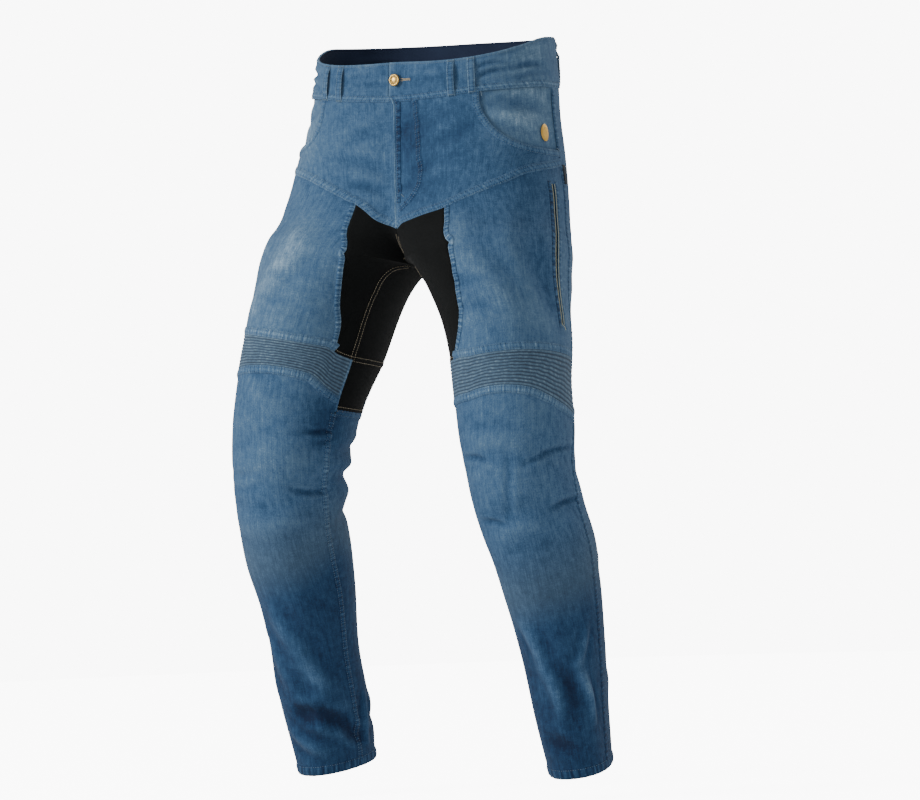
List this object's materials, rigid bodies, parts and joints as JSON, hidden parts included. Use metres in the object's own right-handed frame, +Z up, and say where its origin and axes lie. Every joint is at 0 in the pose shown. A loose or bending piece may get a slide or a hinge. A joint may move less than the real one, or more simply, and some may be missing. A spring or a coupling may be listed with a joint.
{
  "type": "motorcycle trousers",
  "caption": "Denim riding trousers in worn shape, with black stretch inner legs, ribbed panels above the knees, belt loops and a button.",
  "frame": {"origin": "middle of the waist opening, where the wearer's waist holds the trousers", "axes": "+Z up to the waist, -Y to the front, +X to the wearer's left"},
  "size_m": [0.5439, 0.3083, 1.0121],
  "materials": {
    "denim": "washed mid-blue stretch denim twill, faded on the thighs and knees",
    "denim_ribbed": "dark blue denim sewn in narrow raised ribs",
    "stretch_black": "matt black stretch fabric with beige twin stitching",
    "zip_tape": "black woven zip tape with small coil teeth",
    "brass": "worn brass button",
    "badge": "plain golden badge",
    "tab": "small dark woven tab"
  },
  "bodies": {
    "root": {"back_lower_left": "denim", "back_lower_right": "denim", "back_upper_left": "denim", "back_upper_right": "denim", "belt_loop_back_left": "denim", "belt_loop_back_right": "denim", "belt_loop_front_left_inner": "denim", "belt_loop_front_left_outer": "denim", "belt_loop_front_right_inner": "denim", "belt_loop_front_right_outer": "denim", "belt_loop_side_left": "denim", "belt_loop_side_right": "denim", "black_back_left": "stretch_black", "black_back_right": "stretch_black", "black_front_left": "stretch_black", "black_front_right": "stretch_black", "black_knee_left": "stretch_black", "black_knee_right": "stretch_black", "hip_front_left": "denim", "hip_front_right": "denim", "pocket_badge": "badge", "pocket_facing_left": "denim", "pocket_facing_right": "denim", "rib_panel_left": "denim_ribbed", "rib_panel_right": "denim_ribbed", "shin_front_left": "denim", "shin_front_right": "denim", "side_tab": "tab", "thigh_front_left": "denim", "thigh_front_right": "denim", "vent_zip_left": "zip_tape", "vent_zip_right": "zip_tape", "waist_button": "brass", "waistband": "denim"}
  },
  "joints": []
}
